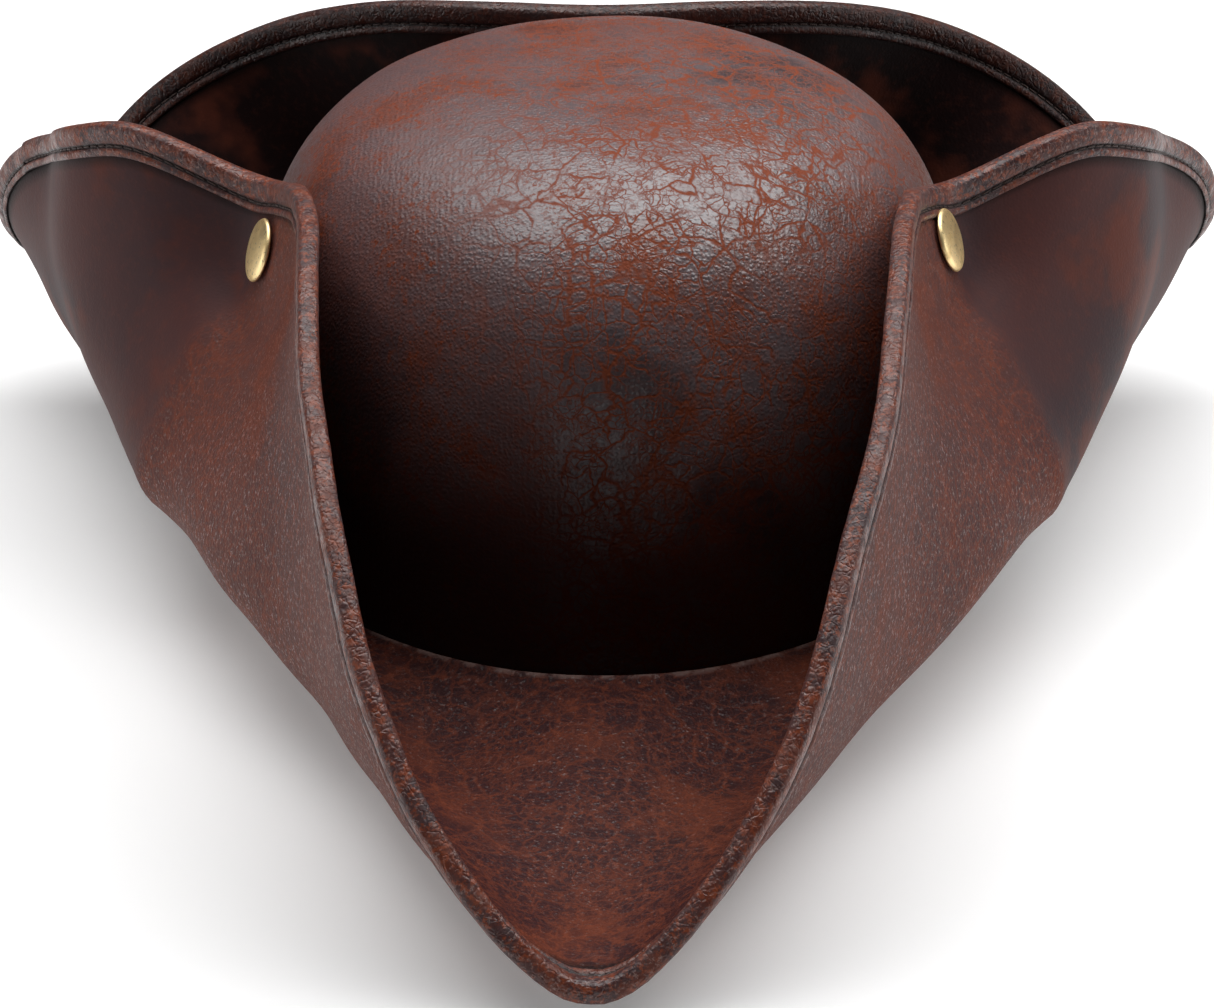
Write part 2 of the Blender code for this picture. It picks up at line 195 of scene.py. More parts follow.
def seam_angles(turns):
    """The plan curve's angles at even lengths round the seam."""
    angles = np.linspace(0.0, 2.0 * math.pi, 2001)
    steps = np.linalg.norm(np.diff(plan_curve(angles, HALF_WIDTH, HALF_LENGTH), axis=0), axis=1)
    length = np.concatenate([[0.0], np.cumsum(steps)])
    return np.interp(np.asarray(turns) % 1.0, length / length[-1], angles)


def crown_ring(turns, depth, over):
    """One level ring of the dome; over runs from 0 at the seam to 1 at the top."""
    lift = over * math.pi / 2
    shrink = max(math.cos(lift), 0.0)**(2 / SIDE_POWER)
    plan = plan_curve(seam_angles(turns), HALF_WIDTH - depth, HALF_LENGTH - depth) * shrink
    z = (CROWN_HEIGHT - depth) * math.sin(lift)**(2 / SIDE_POWER)
    return np.column_stack([plan, np.full(len(plan), z)])


def wall_ring(turns, depth, z):
    """A level ring on the crown's upright wall, at height z."""
    plan = plan_curve(seam_angles(turns), HALF_WIDTH - depth, HALF_LENGTH - depth)
    shrink = (1.0 - (max(z, 0.0) / (CROWN_HEIGHT - depth))**SIDE_POWER)**(1 / SIDE_POWER)
    return np.column_stack([plan * shrink, np.full(len(plan), z)])


def crown_level(points, grow=0.0):
    """1 on the dome grown by this much, less inside and more outside."""
    plan = (np.abs(points[..., 0] / (HALF_WIDTH + grow))**PLAN_POWER
            + np.abs(points[..., 1] / (HALF_LENGTH + grow))**PLAN_POWER)**(1 / PLAN_POWER)
    rise = np.abs(points[..., 2] / (CROWN_HEIGHT + grow))
    return (plan**SIDE_POWER + rise**SIDE_POWER)**(1 / SIDE_POWER)


def even_overs(count, start=0.0, end=1.0):
    """Places up the dome, from start to end, that lie at even lengths over its side."""
    overs = np.concatenate([[0.0], np.geomspace(1e-5, 0.5, 900), 1.0 - np.geomspace(0.5, 1e-5, 900)[1:]])
    lift = overs * math.pi / 2
    side = np.column_stack([(HALF_WIDTH + HALF_LENGTH) / 2 * np.cos(lift)**(2 / SIDE_POWER),
                            CROWN_HEIGHT * np.sin(lift)**(2 / SIDE_POWER)])
    length = np.concatenate([[0.0], np.cumsum(np.linalg.norm(np.diff(side, axis=0), axis=1))])
    low, high = np.interp([start, end], overs, length)
    return np.interp(np.linspace(low, high, count), length, overs)


def brim_net():
    """The brim's control rings: seam, a third, two thirds and rim, as (section, ring, xyz)."""
    side = np.array(BRIM_SECTIONS, dtype=float)
    ring = np.concatenate([side, side[-2:0:-1] * np.array([-1.0, 1.0, 1.0])])
    angles = seam_angles(np.arange(len(ring)) / len(ring))
    seam = plan_curve(angles, HALF_WIDTH + SEAM_GAP, HALF_LENGTH + SEAM_GAP)
    seam = np.column_stack([seam, np.zeros(len(seam))])
    return np.concatenate([seam[:, None], ring], axis=1)


BRIM_NET = brim_net()


def loose_brim(turns, places):
    """The brim's middle surface before its flaps are riveted."""
    sections = closed_spline(BRIM_NET, turns)
    points = open_spline(np.swapaxes(sections, 0, 1), places)
    behind_tip = points[:, 1] - BRIM_SECTIONS[0][-1][1]
    points[:, 0] *= 1.0 - TIP_PINCH * np.exp(-np.maximum(behind_tip, 0.0) / TIP_PINCH_SPAN)
    lean = smooth_step(points[:, 1], TIP_SHIFT_START, TIP_SHIFT_END)
    points[:, 0] += TIP_SHIFT * lean
    return points


def onto_crown(points):
    """The same points moved to the standoff surface that lies round the dome."""
    return points / crown_level(points, FLAP_STANDOFF)[..., None]


def rivet_centre(name):
    turn, place = RIVETS[name]
    return onto_crown(loose_brim(np.array([turn]), np.array([place])))[0]


RIVET_CENTRES = {name: rivet_centre(name) for name in RIVETS}


def spread(turns, places):
    """Turns and places as arrays of one length."""
    turns = np.asarray(turns, dtype=float)
    return turns, np.broadcast_to(np.asarray(places, dtype=float), turns.shape)


def riveted_brim(turns, places):
    """The brim's middle surface, pulled against the crown round each rivet."""
    turns, places = spread(turns, places)
    points = loose_brim(turns, places)
    for centre in RIVET_CENTRES.values():
        laid = onto_crown(points)
        reach = np.linalg.norm(laid - centre, axis=1) / RIVET_PULL
        points = points + np.exp(-reach**4)[:, None] * (laid - points)
    return points


def brim_normals(turns, places):
    """Unit normals of the brim, towards the crown side; upright at the seam."""
    turns, places = spread(turns, places)
    step = 0.01
    along = riveted_brim(turns + step, places) - riveted_brim(turns - step, places)
    across = (riveted_brim(turns, np.minimum(places + step, 1.0))
              - riveted_brim(turns, np.maximum(places - step, 0.0)))
    settle = np.minimum(places / SETTLE_SPAN, 1.0)[:, None]
    return unit(settle * unit(np.cross(across, along)) + (1.0 - settle) * UP)


def crease_line(path, steps=60):
    """Points in millimetres along a crease given as (turn, place) pairs."""
    path = np.array(path)
    keys = np.linspace(0.0, 1.0, len(path))
    read = np.linspace(0.0, 1.0, steps)
    return riveted_brim(np.interp(read, keys, path[:, 0]), np.interp(read, keys, path[:, 1]))


CREASE_LINES = {name: crease_line(path) for name, path in CREASES.items()}
TIP_LINE = crease_line(TIP_CREASE)


def ridge(points, line, reach, rounding):
    """Height from 0 to 1 beside a line, and how far along the line the nearest point lies."""
    gaps = np.linalg.norm(points[:, None] - line[None], axis=2)
    nearest = gaps.argmin(axis=1)
    gap = gaps[np.arange(len(points)), nearest]
    soft = np.sqrt(gap**2 + rounding**2) - rounding
    return np.exp(-soft / reach), nearest / (len(line) - 1)


def brim_lift(points, places):
    """How far creases and unevenness move the brim towards its crown side, in millimetres."""
    x, y, z = points.T
    lift = 0.35 * np.sin(x / 13.0 + 0.7) * np.sin(y / 17.0 + z / 23.0 + 0.4)
    lift += 0.22 * np.sin(x / 7.3 - y / 9.1 + 1.9) * np.sin(z / 8.7 + 0.6)
    lift *= smooth_step(places, 0.08, 0.3)
    for line in CREASE_LINES.values():
        height, along = ridge(points, line, CREASE_REACH, CREASE_ROUNDING)
        lift -= CREASE_HEIGHT * height * smooth_step(along, 0.0, 0.3) * (1.0 - smooth_step(along, 0.75, 1.0))
    height, along = ridge(points, TIP_LINE, TIP_CREASE_REACH, 1.0)
    lift += TIP_CREASE_HEIGHT * height * (1.0 - smooth_step(along, 0.5, 1.0))
    for centre in RIVET_CENTRES.values():
        lift *= 1.0 - np.exp(-(np.linalg.norm(points - centre, axis=1) / 13.0)**4)
    return lift


def brim_point(turns, places, height):
    """Points at a height from the brim's middle surface towards the crown side."""
    turns, places = spread(turns, places)
    points = riveted_brim(turns, places)
    lift = brim_lift(points, places) + height
    return points + lift[:, None] * brim_normals(turns, places)


def lapped_turns():
    """Turns round the hat, with a close pair where the binding's end laps."""
    kept = TURNS[np.abs(TURNS - LAP_TURN) > 0.3 / STATIONS]
    return np.sort(np.concatenate([kept, [LAP_TURN - 1e-4, LAP_TURN + 1e-4]]))


TURNS = np.arange(STATIONS) / STATIONS


# ---- meshes

def strips(rows, count, wrap):
    """Quads between neighbouring rings, as (strip, station, corner) vertex numbers."""
    near = np.arange(rows if wrap else rows - 1)
    far = (near + 1) % rows
    here = np.arange(count)
    there = (here + 1) % count
    corners = [near[:, None] * count + here, near[:, None] * count + there,
               far[:, None] * count + there, far[:, None] * count + here]
    return np.stack(corners, axis=-1)


def fan(pole, ring):
    """Triangles from a pole to a ring of vertex numbers."""
    return np.stack([ring, np.roll(ring, -1), np.full(len(ring), pole)], axis=-1)


def signed_volume(verts, faces):
    total = 0.0
    for k in range(1, faces.shape[1] - 1):
        a, b, c = verts[faces[:, 0]], verts[faces[:, k]], verts[faces[:, k + 1]]
        total += (a * np.cross(b, c)).sum()
    return total


def new_object(name, verts, faces, material, smooth_angle=60.0):
    """An object from vertices in millimetres."""
    mesh = bpy.data.meshes.new(name)
    mesh.from_pydata((np.asarray(verts) * MM).tolist(), [], faces)
    mesh.shade_smooth()
    mesh.set_sharp_from_angle(angle=math.radians(smooth_angle))
    mesh.materials.append(material)
    item = bpy.data.objects.new(name, mesh)
    bpy.context.scene.collection.objects.link(item)
    return item


def ringed(name, rings, material, poles=(None, None), marks=None, smooth_angle=60.0, turns=None):
    """A closed surface through rings of equal count, capped by poles or joined end to end.

    marks holds point attributes as {name: one value for each ring and station}.
    """
    rings = np.array(rings)
    rows, count = rings.shape[:2]
    verts = rings.reshape(-1, 3)
    quads = strips(rows, count, wrap=poles[0] is None)
    flat_quads = quads.reshape(-1, 4)
    turns = np.arange(count) / count if turns is None else turns
    around = np.append(turns, 1.0) * SEAM_LENGTH
    gaps = np.linalg.norm(np.diff(rings, axis=0, append=rings[:1]), axis=2).mean(axis=1)
    across = np.concatenate([[0.0], np.cumsum(gaps)])
    tops = np.arange(len(quads))
    u = np.stack([around[:-1], around[1:], around[1:], around[:-1]], axis=-1)
    v = np.stack([across[tops], across[tops], across[tops + 1], across[tops + 1]], axis=-1)
    uv = np.stack([np.broadcast_to(u, (len(quads), count, 4)),
                   np.broadcast_to(v[:, None], (len(quads), count, 4))], axis=-1).reshape(-1, 2)
    faces = [flat_quads]
    for pole, row in zip(poles, (0, rows - 1)):
        if pole is not None:
            ring = row * count + np.arange(count)
            turned = fan(len(verts), ring)
            faces.append(turned[:, ::-1] if row == 0 else turned)
            verts = np.vstack([verts, pole])
            uv = np.vstack([uv, np.zeros((3 * count, 2))])
    inside_out = sum(signed_volume(verts, part) for part in faces) < 0
    listed = []
    for part in faces:
        listed += (part[:, ::-1] if inside_out else part).tolist()
    if inside_out:
        quad_uv = uv[:4 * len(flat_quads)].reshape(-1, 4, 2)[:, ::-1].reshape(-1, 2)
        uv = np.vstack([quad_uv, uv[4 * len(flat_quads):]])
    item = new_object(name, verts, listed, material, smooth_angle)
    layer = item.data.uv_layers.new(name="millimetres")
    layer.data.foreach_set("uv", (uv * MM).astype(np.float32).ravel())
    for mark, values in (marks or {}).items():
        full = np.zeros(len(verts), np.float32)
        full[:rows * count] = np.asarray(values, dtype=float).ravel()
        attribute = item.data.attributes.new(mark, "FLOAT", "POINT")
        attribute.data.foreach_set("value", full)
    return item


def shown(item, slot, *nodes):
    """Attaches a piece to the root body and hides the CAD nodes it stands for; slot is not used."""
    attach(item, "root")
    if nodes:
        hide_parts(*nodes)
    return item


# ---- crown

def crown_dents(points):
    """The crown's soft unevenness, in millimetres outwards."""
    x, y, z = points.T
    dents = 0.42 * np.sin(x / 17.0 + 0.3) * np.sin(y / 21.0 + z / 31.0 + 1.0)
    dents += 0.22 * np.sin(x / 8.3 + y / 11.7) * np.sin(z / 9.7 + 2.1)
    return dents * smooth_step(z, 14.0, 42.0)


def dented(points):
    step = 0.05
    slope = np.column_stack([crown_level(points + step * axis) - crown_level(points - step * axis)
                             for axis in np.eye(3)])
    slope /= np.maximum(np.linalg.norm(slope, axis=1, keepdims=True), 1e-12)
    return points + crown_dents(points)[:, None] * slope


def dome_layer(depth, foot, overs):
    rings = [wall_ring(TURNS, depth, foot)] + [crown_ring(TURNS, depth, over) for over in overs]
    return [dented(ring) for ring in rings]


def dome_shell(name, depths, foot, material):
    """A domed shell of even thickness, open at the bottom."""
    overs = even_overs(CROWN_ROWS)[1:-1]
    outer, inner = [dome_layer(depth, foot, overs) for depth in depths]
    poles = [dented(np.array([[0.0, 0.0, CROWN_HEIGHT - depth]]))[0] for depth in depths]
    return ringed(name, outer[::-1] + inner, material, poles)


def lining_ring(depth, over, foot=None):
    """A ring of the lining, with soft upright folds."""
    ring = wall_ring(TURNS, depth, foot) if over is None else crown_ring(TURNS, depth, over)
    folds = 0.5 * np.sin(TURNS * 2 * math.pi * 23 + 0.8) * np.sin(TURNS * 2 * math.pi * 7 + 0.2)
    folds += 0.35 * np.sin(TURNS * 2 * math.pi * 41 + 2.0)
    inward = 0.85 + folds
    centre = np.array([0.0, 0.0, 0.3 * CROWN_HEIGHT])
    away = unit(centre - ring)
    level = ring[:, 2].mean() / CROWN_HEIGHT
    amount = smooth_step(level, 0.1, 0.45) * (1.0 - 0.75 * smooth_step(level, 0.85, 1.0))
    return ring + away * (inward * amount)[:, None]


def lining_side(material):
    overs = even_overs(34, 0.0, LINING_SPLIT - LINING_SPLIT_GAP)[1:]
    outer, inner = [[lining_ring(d, None, LINING_FOOT)] + [lining_ring(d, over) for over in overs]
                    for d in LINING_DEPTHS]
    return ringed("lining_side_piece", outer[::-1] + inner, material)


def lining_tip(material):
    overs = even_overs(30, LINING_SPLIT + LINING_SPLIT_GAP, 1.0)[:-1]
    outer, inner = [[lining_ring(d, over) for over in overs] for d in LINING_DEPTHS]
    poles = [(0.0, 0.0, CROWN_HEIGHT - d) for d in LINING_DEPTHS]
    return ringed("lining_tip_piece", outer[::-1] + inner, material, poles)


def lining_cord(material):
    """The narrow piping sewn into the seam between the lining's side and tip."""
    ring = 0.5 * (lining_ring(LINING_DEPTHS[1], LINING_SPLIT - LINING_SPLIT_GAP)
                  + lining_ring(LINING_DEPTHS[1], LINING_SPLIT + LINING_SPLIT_GAP))
    return ringed("lining_piping", round_rings(ring, 0.75, 8), material)


def round_rings(centres, radius, steps):
    """Rings of a round cord that runs round the hat."""
    out = unit(centres * (1.0 - UP))
    angles = 2.0 * math.pi * np.arange(steps) / steps
    return [centres + radius * (math.cos(a) * out + math.sin(a) * UP) for a in angles]


# The sweatband's middle line as (depth, z): down inside the hat, then out under its reed.
BAND_LINE = ((7.0, 30.5), (7.0, 24.0), (7.05, 16.0), (7.1, 8.0), (7.0, 3.0), (6.7, 0.4), (6.0, -1.2),
             (4.9, -2.2), (3.6, -2.3), (2.95, -1.5), (2.9, -0.4), (2.95, 1.1))
BAND_HALF = 0.4


def sweatband(material):
    line = np.array(BAND_LINE)
    along = unit(np.gradient(line, axis=0))
    side = BAND_HALF * np.column_stack([-along[:, 1], along[:, 0]])
    left, right = line + side, line - side
    cap = [line[0] + (0.0, 0.25)]
    foot = [line[-1] + (0.0, 0.2)]
    profile = np.vstack([cap, left, foot, right[::-1]])
    rings = [wall_ring(TURNS, depth, z) for depth, z in profile]
    return ringed("sweatband_piece", rings, material, smooth_angle=75.0)


def sweatband_reed(material):
    return ringed("reed", round_rings(wall_ring(TURNS, REED_DEPTH, REED_Z), REED_RADIUS, 10), material)


def label_rings():
    """A slightly rounded rectangle lying on the sweatband at the back, as rings from its middle."""
    angles = np.linspace(0.0, 2.0 * math.pi, 96, endpoint=False)
    corner = 0.28
    outline = np.column_stack([np.sign(np.cos(angles)) * np.abs(np.cos(angles))**corner,
                               np.sign(np.sin(angles)) * np.abs(np.sin(angles))**corner])
    outline *= np.array([13.0, 7.0])
    rings = []
    for depth, scales in ((7.95, (0.1, 0.5, 0.9, 0.97, 1.0)), (7.55, (1.0, 0.97, 0.9, 0.5, 0.1))):
        for scale in scales:
            flat = outline * scale
            edge = 0.12 if scale == 1.0 else 0.0
            level = depth - edge if depth > 7.7 else depth
            ring = [wall_ring(np.array([0.5 + x / SEAM_LENGTH]), level, 16.0 + z)[0] for x, z in flat]
            rings.append(np.array(ring))
    return rings


def size_label(material):
    rings = label_rings()
    poles = [rings[0].mean(axis=0), rings[-1].mean(axis=0)]
    return ringed("blank_label", rings, material, poles, smooth_angle=50.0)


# ---- brim

def ply_places(last):
    """Places across the brim, close together at the seam."""
    seam = np.array([0.0, 0.003, 0.006, 0.010, 0.015, 0.021, 0.030])
    return np.concatenate([seam, np.linspace(0.045, last, BRIM_ROWS)])


def seam_lip(place, height):
    """The turned edge of a cover, beside the crown."""
    along = place * BRIM_WIDTH
    return height * (math.exp(-((along - 1.5) / 1.0)**2) - 0.9 * math.exp(-(along / 0.5)**2))


def brim_ply(name, heights, last, lips, material):
    """One ply of the brim; lips are how far its two faces stand up along the seam."""
    places = ply_places(last)
    upper = [brim_point(TURNS, p, heights[1] + seam_lip(p, lips[1])) for p in places]
    under = [brim_point(TURNS, p, heights[0] - seam_lip(p, lips[0])) for p in places]
    rings = upper + under[::-1]
    across = np.concatenate([places, places[::-1]])
    worn = smooth_step(across, *SEAM_WEAR_AND_HIGHLIGHT[:2]) * (1.0 - smooth_step(across, *SEAM_WEAR_AND_HIGHLIGHT[2:]))
    marks = {"lip_painted_shade": np.repeat(smooth_step(across, *HEM_SHADE)[:, None], len(TURNS), axis=1),
             "seam": np.repeat(worn[:, None], len(TURNS), axis=1),
             "front": np.array([flap_front(TURNS, place) for place in across])}
    return ringed(name, rings, material, marks=marks)


def flap_front(turns, place):
    """1 on the front part of each side flap and on the front point, 0 behind the creases, where the covers
    carry painted shade.
    """
    edges = {}
    for side, path in CREASES.items():
        turn, across = np.array(path).T
        edges[side] = np.interp(place, across[::-1], turn[::-1])
    behind = smooth_step(turns, edges["right"] - CREASE_BORDER, edges["right"] + CREASE_BORDER)
    behind *= 1.0 - smooth_step(turns, edges["left"] - CREASE_BORDER, edges["left"] + CREASE_BORDER)
    return 1.0 - behind


def rim_scale(turns):
    """Millimetres across the brim for each unit of place, at the rim."""
    inner = riveted_brim(turns, 0.9)
    return np.linalg.norm(riveted_brim(turns, 1.0) - inner, axis=1) / 0.1


def rim_outward(turns):
    return unit(riveted_brim(turns, 1.0) - riveted_brim(turns, 0.97))


# The binding's section on one face of the brim: distance in from the rim, and height.
BINDING_FACE = (
    (7.05, -0.06), (7.3, 0.15), (7.4, 0.42), (7.25, 0.66), (6.85, 0.83), (6.3, 0.88), (5.75, 0.76),
    (5.3, 0.42), (4.95, 0.14), (4.6, 0.16), (4.25, 0.42), (3.85, 0.68), (3.3, 0.84), (2.6, 0.92),
    (1.8, 0.94), (0.9, 0.88), (0.0, 0.7),
)
BINDING_SEAT = 1.55         # the level on each face from which those heights are counted
BINDING_RIM = 0.7
BINDING_EDGE_REACH = 1.0    # how far the fold stands out from the rim
EDGE_ANGLES = (58, 38, 19, 0, -19, -38, -58)
GROOVE = (4.8, 0.14)


def lap_raise(turns):
    """The extra height of the binding's outer end where it laps over its start."""
    gap = (turns - LAP_TURN) % 1.0
    return LAP_RAISE * (1.0 - smooth_step(gap, 0.0, LAP_FADE))


def puckers(turns, side):
    """Small puckers that the stitches draw into the binding, which come and go round the rim."""
    close = np.sin(turns * 2.0 * math.pi * 180.0 + side)
    return 0.07 * close * np.sin(turns * 2.0 * math.pi * 61.0)


def edge_binding(material):
    """A tape folded round the rim, stitched along a groove on both faces."""
    turns = lapped_turns()
    scale = rim_scale(turns)
    out = rim_outward(turns)
    raised = lap_raise(turns)
    face_rings = {}
    wear_and_hollow_shade = {}
    for side in (1.0, -1.0):
        face_rings[side] = []
        wear_and_hollow_shade[side] = []
        for inset, height in BINDING_FACE:
            places = 1.0 - inset / scale
            level = BINDING_SEAT + height + raised * smooth_step(height, 0.0, 0.6)
            level = level + puckers(turns, side) * smooth_step(height, 0.1, 0.7)
            face_rings[side].append(brim_point(turns, places, side * level))
            # Raised parts of each face take wear; low parts take painted shade.
            wear_and_hollow_shade[side].append(np.full(len(turns), smooth_step(height, 0.35, 0.9)))
    edge = []
    for angle in EDGE_ANGLES:
        lift = (BINDING_SEAT + BINDING_RIM + raised) * math.sin(math.radians(angle))
        reach = (BINDING_EDGE_REACH + raised) * math.cos(math.radians(angle))
        edge.append(brim_point(turns, 1.0, lift) + reach[:, None] * out)
    inner = []
    for inset, height in ((0.0, BINDING_SEAT - 0.05), (-0.3, 0.6), (-0.3, -0.6), (0.0, 0.05 - BINDING_SEAT)):
        inner.append(brim_point(turns, 1.0, height) + (-inset) * out)
    rings = face_rings[1.0] + edge + face_rings[-1.0][::-1] + inner[::-1]
    values = wear_and_hollow_shade[1.0] + [np.ones(len(turns))] * len(edge) + wear_and_hollow_shade[-1.0][::-1] + [np.zeros(len(turns))] * 4
    # Painted shade on the binding round the back flap.
    back = BACK_PAINTED_SHADE_STRENGTH * smooth_step(turns, *BACK_SHADE[:2]) * (1.0 - smooth_step(turns, *BACK_SHADE[2:]))
    marks = {"wear_and_hollow_shade": np.array(values), "back": np.repeat(back[None], len(rings), axis=0)}
    return ringed("binding", rings, material, marks=marks, turns=turns)


def capsules(name, centres, ways, length, radius, material, sides=6):
    """Short round-ended threads, joined into one mesh."""
    ways = unit(ways)
    guide = np.where(np.abs(ways[:, 2:3]) < 0.9, [[0.0, 0.0, 1.0]], [[1.0, 0.0, 0.0]])
    first = unit(np.cross(ways, guide))
    second = np.cross(ways, first)
    half = length / 2.0
    profile = ((-half, 0.0), (-half + 0.3 * radius, 0.7), (-half + radius, 1.0), (half - radius, 1.0),
               (half - 0.3 * radius, 0.7), (half, 0.0))
    angles = 2.0 * math.pi * np.arange(sides) / sides
    rings = []
    for shift, width in profile[1:-1]:
        for a in angles:
            rings.append(centres + shift * ways
                         + radius * width * (math.cos(a) * first + math.sin(a) * second))
    ends = [centres + profile[0][0] * ways, centres + profile[-1][0] * ways]
    block = np.stack(rings + ends, axis=1)
    own = block.shape[1]
    quads = strips(4, sides, wrap=False).reshape(-1, 4)
    caps = np.vstack([fan(own - 2, np.arange(sides))[:, ::-1], fan(own - 1, 3 * sides + np.arange(sides))])
    if signed_volume(block[0], quads) + signed_volume(block[0], caps) < 0:
        quads, caps = quads[:, ::-1], caps[:, ::-1]
    starts = own * np.arange(len(centres))
    faces = (quads[None] + starts[:, None, None]).reshape(-1, 4).tolist()
    faces += (caps[None] + starts[:, None, None]).reshape(-1, 3).tolist()
    return new_object(name, block.reshape(-1, 3), faces, material)


def even_points(line, pitch):
    """Points and directions at an even pitch along a closed line."""
    closed = np.vstack([line, line[:1]])
    length = np.concatenate([[0.0], np.cumsum(np.linalg.norm(np.diff(closed, axis=0), axis=1))])
    count = int(length[-1] / pitch)
    marks = np.arange(count) * length[-1] / count
    centres = np.column_stack([np.interp(marks, length, closed[:, k]) for k in range(3)])
    ahead = np.column_stack([np.interp((marks + 0.5) % length[-1], length, closed[:, k]) for k in range(3)])
    return centres, ahead - centres


def binding_stitches(material):
    fine = (np.arange(1600) + 0.5) / 1600
    places = 1.0 - GROOVE[0] / rim_scale(fine)
    centres, ways = [], []
    for side in (1.0, -1.0):
        line = brim_point(fine, places, side * (BINDING_SEAT + GROOVE[1] + 0.1 + lap_raise(fine)))
        found = even_points(line, STITCH_PITCH)
        centres.append(found[0])
        ways.append(found[1])
    return capsules("binding_stitches", np.vstack(centres), np.vstack(ways),
                    STITCH_LENGTH, STITCH_RADIUS, material)


def band_stitches(material):
    """One row of stitches low on the sweatband's inner face."""
    line = wall_ring((np.arange(1200) + 0.5) / 1200, BAND_LINE[3][0] + 0.42, 5.0)
    return capsules("sweatband_stitches", *even_points(line, 3.4), 2.7, 0.25, material)


def brim_wire(material):
    centres = brim_point(TURNS, WIRE_PLACE, 0.0)
    out, up = rim_outward(TURNS), brim_normals(TURNS, WIRE_PLACE)
    angles = 2.0 * math.pi * np.arange(8) / 8
    rings = [centres + WIRE_RADIUS * (math.cos(a) * out + math.sin(a) * up) for a in angles]
    return ringed("rim_wire", rings, material)


# ---- rivets

# Cap section as (radius, height above the leather), from its middle to its post.
CAP_SECTION = (
    (1.2, 2.34), (2.4, 2.3), (3.6, 2.22), (4.8, 2.1), (5.8, 1.96), (6.6, 1.8), (7.1, 1.64), (7.45, 1.42),
    (7.68, 1.12), (7.78, 0.82), (7.7, 0.56), (7.4, 0.4), (6.8, 0.38), (5.0, 0.5), (1.8, 0.55),
)
CAP_TOP = 2.36
CAP_SIDES = 72
POST_RADIUS = 1.8


def rivet_cap(name, material):
    centre = RIVET_CENTRES[name]
    step = 0.05
    slope = np.array([crown_level(centre + step * axis) - crown_level(centre - step * axis)
                      for axis in np.eye(3)])
    axis = slope / np.linalg.norm(slope)
    turn = np.array(Vector((0.0, 0.0, 1.0)).rotation_difference(Vector(axis)).to_matrix())
    angles = 2.0 * math.pi * np.arange(CAP_SIDES) / CAP_SIDES
    face = -UNDER_PLY[0]
    profile = [(radius, face + height) for radius, height in CAP_SECTION]
    profile.append((POST_RADIUS, -POST_END))
    rings = []
    for radius, height in profile:
        flat = np.column_stack([radius * np.cos(angles), radius * np.sin(angles),
                                np.full(CAP_SIDES, height)])
        rings.append(centre + flat @ turn.T)
    poles = [centre + (face + CAP_TOP) * axis, centre - POST_END * axis]
    return ringed(f"cap_{name}", rings, material, poles, smooth_angle=45.0)


# ---- materials

class Graph:
    """A material's nodes. Each method adds a node and returns its output."""

    def __init__(self, name):
        self.material = bpy.data.materials.new(name)
        self.material.use_nodes = True
        self.tree = self.material.node_tree
        self.shader = self.tree.nodes["Principled BSDF"]
        self.place = self.add("ShaderNodeTexCoord").outputs["Object"]

    def add(self, kind, inputs=None, **settings):
        node = self.tree.nodes.new(kind)
        for key, value in settings.items():
            setattr(node, key, value)
        for key, value in (inputs or {}).items():
            self.plug(node.inputs[key], value)
        return node

    def plug(self, socket, value):
        if isinstance(value, bpy.types.NodeSocket):
            self.tree.links.new(value, socket)
        elif socket.type == "RGBA":
            socket.default_value = (*value, 1.0)
        else:
            socket.default_value = value

    def calc(self, operation, *values):
        node = self.add("ShaderNodeMath", operation=operation)
        for socket, value in zip(node.inputs, values):
            self.plug(socket, value)
        return node.outputs[0]

    def band(self, value, low, high, start=0.0, end=1.0):
        """A smooth change from start to end as value goes from low to high."""
        node = self.add("ShaderNodeMapRange", {"Value": value, "From Min": low, "From Max": high,
                                               "To Min": start, "To Max": end},
                        interpolation_type="SMOOTHSTEP")
        return node.outputs["Result"]

    def mix(self, amount, first, second):
        node = self.add("ShaderNodeMix", data_type="RGBA")
        self.plug(node.inputs[0], amount)
        self.plug(node.inputs[6], first)
        self.plug(node.inputs[7], second)
        return node.outputs[2]

    def noise(self, vector, scale, detail=3.0, roughness=0.5):
        node = self.add("ShaderNodeTexNoise", {"Vector": vector, "Scale": scale, "Detail": detail,
                                               "Roughness": roughness})
        return node.outputs["Fac"]

    def cells(self, vector, scale, feature):
        node = self.add("ShaderNodeTexVoronoi", feature=feature)
        self.plug(node.inputs["Vector"], vector)
        self.plug(node.inputs["Scale"], scale)
        return node.outputs["Distance"]

    def warped(self, vector, scale, amount):
        """The vector pushed about by noise; amount is in metres."""
        noise = self.add("ShaderNodeTexNoise", {"Vector": vector, "Scale": scale, "Detail": 2.0})
        centred = self.add("ShaderNodeVectorMath", {0: noise.outputs["Color"], 1: (0.5, 0.5, 0.5)},
                           operation="SUBTRACT")
        sized = self.add("ShaderNodeVectorMath", {0: centred.outputs[0], "Scale": amount},
                         operation="SCALE")
        moved = self.add("ShaderNodeVectorMath", {0: vector, 1: sized.outputs[0]}, operation="ADD")
        return moved.outputs[0]

    def times(self, first, second):
        return self.calc("MULTIPLY", first, second)

    def layers(self, *parts):
        """A bump height in metres, added up from (pattern, height) pairs."""
        heights = [self.times(pattern, height) for pattern, height in parts]
        total = heights[0]
        for height in heights[1:]:
            total = self.calc("ADD", total, height)
        return total

    def stretched(self, factors):
        node = self.add("ShaderNodeVectorMath", {0: self.place, 1: factors}, operation="MULTIPLY")
        return node.outputs[0]

    def mark(self, name):
        return self.add("ShaderNodeAttribute", attribute_name=name).outputs["Fac"]

    def wave(self, vector, scale, distortion, way):
        return self.add("ShaderNodeTexWave", {"Vector": vector, "Scale": scale, "Distortion": distortion},
                        bands_direction=way).outputs["Fac"]

    def finish(self, colour, roughness, height):
        """Joins colour, roughness and a bump height in metres to the shader."""
        self.plug(self.shader.inputs["Base Color"], colour)
        self.plug(self.shader.inputs["Roughness"], roughness)
        bump = self.add("ShaderNodeBump", {"Height": height, "Strength": 1.0, "Distance": 1.0})
        self.plug(self.shader.inputs["Normal"], bump.outputs["Normal"])
        return self.material


